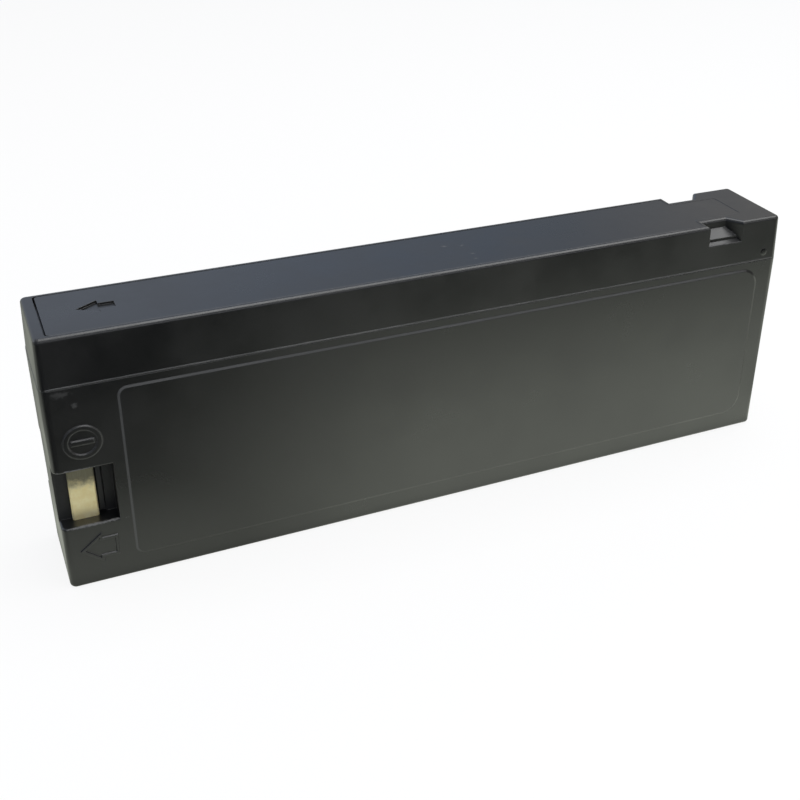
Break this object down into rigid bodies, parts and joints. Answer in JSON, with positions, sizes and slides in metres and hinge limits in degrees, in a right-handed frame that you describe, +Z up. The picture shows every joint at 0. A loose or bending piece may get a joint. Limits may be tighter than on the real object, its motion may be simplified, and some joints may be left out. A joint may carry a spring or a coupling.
{
  "type": "sealed lead-acid battery",
  "caption": "Flat black slide-in sealed lead-acid battery with contact bays at one end, raised bare panels, a top plate over the valves and latch notches near the other end.",
  "frame": {"origin": "centre of the underside, on the surface that the battery stands on", "axes": "+X along the length, away from the contacts; the front with the minus contact faces -Y; +Z up"},
  "size_m": [0.182, 0.0234, 0.061],
  "materials": {
    "case_plastic": "satin moulded ABS",
    "cover_plastic": "satin moulded ABS",
    "contact_brass": "dull plated brass, stained at the top",
    "black_insulation": "smooth wire insulation",
    "red_insulation": "smooth wire insulation",
    "resin": "cast resin",
    "valve_rubber": "moulded rubber",
    "lead": "dull grey lead and pasted plates",
    "lead_dioxide": "dull brown pasted plates",
    "glass_mat": "glass fibre mat"
  },
  "bodies": {
    "root": {"container": "case_plastic", "cover": "cover_plastic", "top_plate": "cover_plastic", "negative_contact": "contact_brass", "positive_contact": "contact_brass", "negative_lead": "black_insulation", "positive_lead": "red_insulation", "negative_post_seal": "resin", "positive_post_seal": "resin", "valve_cap_1": "valve_rubber", "valve_cap_2": "valve_rubber", "valve_cap_3": "valve_rubber", "valve_cap_4": "valve_rubber", "valve_cap_5": "valve_rubber", "valve_cap_6": "valve_rubber", "cell_1_negative_plates": "lead", "cell_1_positive_plates": "lead_dioxide", "cell_1_separators": "glass_mat", "cell_2_negative_plates": "lead", "cell_2_positive_plates": "lead_dioxide", "cell_2_separators": "glass_mat", "cell_3_negative_plates": "lead", "cell_3_positive_plates": "lead_dioxide", "cell_3_separators": "glass_mat", "cell_4_negative_plates": "lead", "cell_4_positive_plates": "lead_dioxide", "cell_4_separators": "glass_mat", "cell_5_negative_plates": "lead", "cell_5_positive_plates": "lead_dioxide", "cell_5_separators": "glass_mat", "cell_6_negative_plates": "lead", "cell_6_positive_plates": "lead_dioxide", "cell_6_separators": "glass_mat"}
  },
  "joints": []
}
